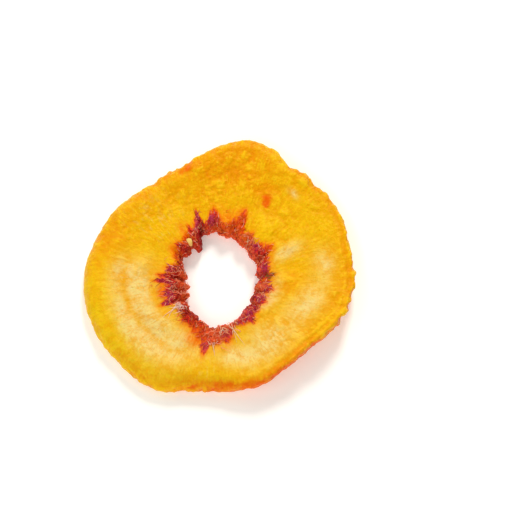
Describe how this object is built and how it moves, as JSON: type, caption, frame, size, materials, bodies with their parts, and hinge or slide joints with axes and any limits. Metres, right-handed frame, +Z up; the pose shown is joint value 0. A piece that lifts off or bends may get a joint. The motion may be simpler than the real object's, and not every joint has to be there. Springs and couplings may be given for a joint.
{
  "type": "dried peach slice",
  "caption": "Dried ring slice of peach with golden flesh, a raised wavy rim and a ragged red star of torn flesh round the stone hole.",
  "frame": {"origin": "under the middle of the slice's bounding box, on the surface it lies on", "axes": "+Z up through the slice, +Y towards the top of the slice as pictured, +X to its right"},
  "size_m": [0.062, 0.0612, 0.007],
  "materials": {
    "dried_flesh": "golden yellow dried fruit flesh, paler at the left and lower right, crimson and purple round the stone hole, leathery with a slight gloss"
  },
  "bodies": {
    "root": {"peach_slice": "dried_flesh"}
  },
  "joints": []
}
